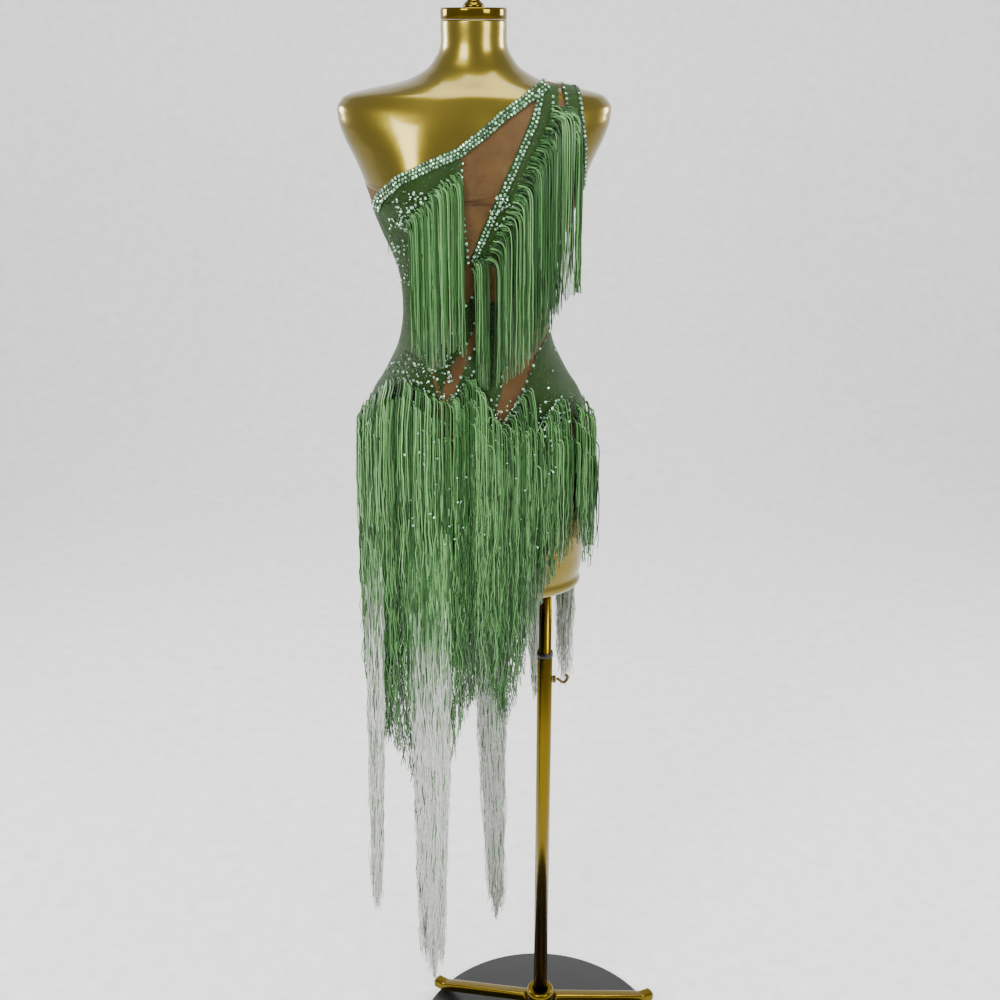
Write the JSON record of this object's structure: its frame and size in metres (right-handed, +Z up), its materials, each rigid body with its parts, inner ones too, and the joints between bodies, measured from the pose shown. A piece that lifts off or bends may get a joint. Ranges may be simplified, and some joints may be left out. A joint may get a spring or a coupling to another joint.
{
  "type": "latin dance dress on a dress form",
  "caption": "One-shouldered latin dance dress of nude mesh and green panels with stone-set edges and long fringe, on a limbless dress form with a height-adjustable stand.",
  "frame": {"origin": "on the axis of the stand's pole, at the floor, on the flat underside of the base disc's middle boss", "axes": "+Z up along the pole; the dress's front faces -Y; +X is to the right of someone facing the front, the side of the dress's one shoulder"},
  "size_m": [0.515, 0.4627, 1.812],
  "materials": {
    "form_gold": "gloss",
    "gold_plated_steel": "polished",
    "black_enamel": "satin",
    "black_nylon": "satin",
    "dark_steel": "satin",
    "nude_mesh": "matte",
    "green_stretch": "satin",
    "rhinestone_trim": "gloss",
    "fringe_green": "satin",
    "fringe_white": "satin"
  },
  "bodies": {
    "stand": {"base_disc": "black_enamel", "base_hub": "gold_plated_steel", "base_arm_left": "gold_plated_steel", "base_arm_right": "gold_plated_steel", "base_arm_front": "gold_plated_steel", "outer_tube": "gold_plated_steel", "tube_collar": "black_nylon", "clamp_boss": "gold_plated_steel"},
    "clamp_screw": {"clamp_screw": "dark_steel"},
    "upper": {"form_torso": "form_gold", "inner_tube": "gold_plated_steel", "neck_cap": "gold_plated_steel", "neck_finial": "gold_plated_steel", "socket_ring": "black_nylon", "mesh_front": "nude_mesh", "mesh_back": "nude_mesh", "panel_bust_side": "green_stretch", "panel_shoulder_band": "green_stretch", "panel_strap": "green_stretch", "panel_flame_left": "green_stretch", "panel_flame_middle": "green_stretch", "panel_hip_right": "green_stretch", "panel_back_band": "green_stretch", "panel_back_strap": "green_stretch", "panel_back_side": "green_stretch", "panel_back_flame": "green_stretch", "panel_back_hip": "green_stretch", "trim_neckline": "rhinestone_trim", "trim_neckline_back": "rhinestone_trim", "trim_band": "rhinestone_trim", "trim_strap": "rhinestone_trim", "trim_armhole": "rhinestone_trim", "trim_armhole_back": "rhinestone_trim", "fringe_bust": "fringe_green", "fringe_centre": "fringe_green", "fringe_shoulder": "fringe_green", "fringe_back": "fringe_green", "fringe_hip_left": "fringe_green", "fringe_hip_middle": "fringe_green", "fringe_hip_right": "fringe_green", "fringe_hip_back_left": "fringe_green", "fringe_hip_back_middle": "fringe_green", "fringe_hip_back_right": "fringe_green", "tail_side": "fringe_white", "tail_long": "fringe_white", "tail_back_centre": "fringe_white", "tail_back_pole": "fringe_white", "tail_back_right": "fringe_white", "tail_back_left": "fringe_white"}
  },
  "joints": [
    {"name": "height_slide", "type": "slide", "parent": "stand", "child": "upper", "axis": [0, 0, 1], "range_m": [0, 0.2]},
    {"name": "clamp_turn", "type": "hinge", "parent": "stand", "child": "clamp_screw", "pos_m": [0.018, 0, 0.753], "axis": [1, 0, 0], "range_deg": [0, 360]}
  ]
}
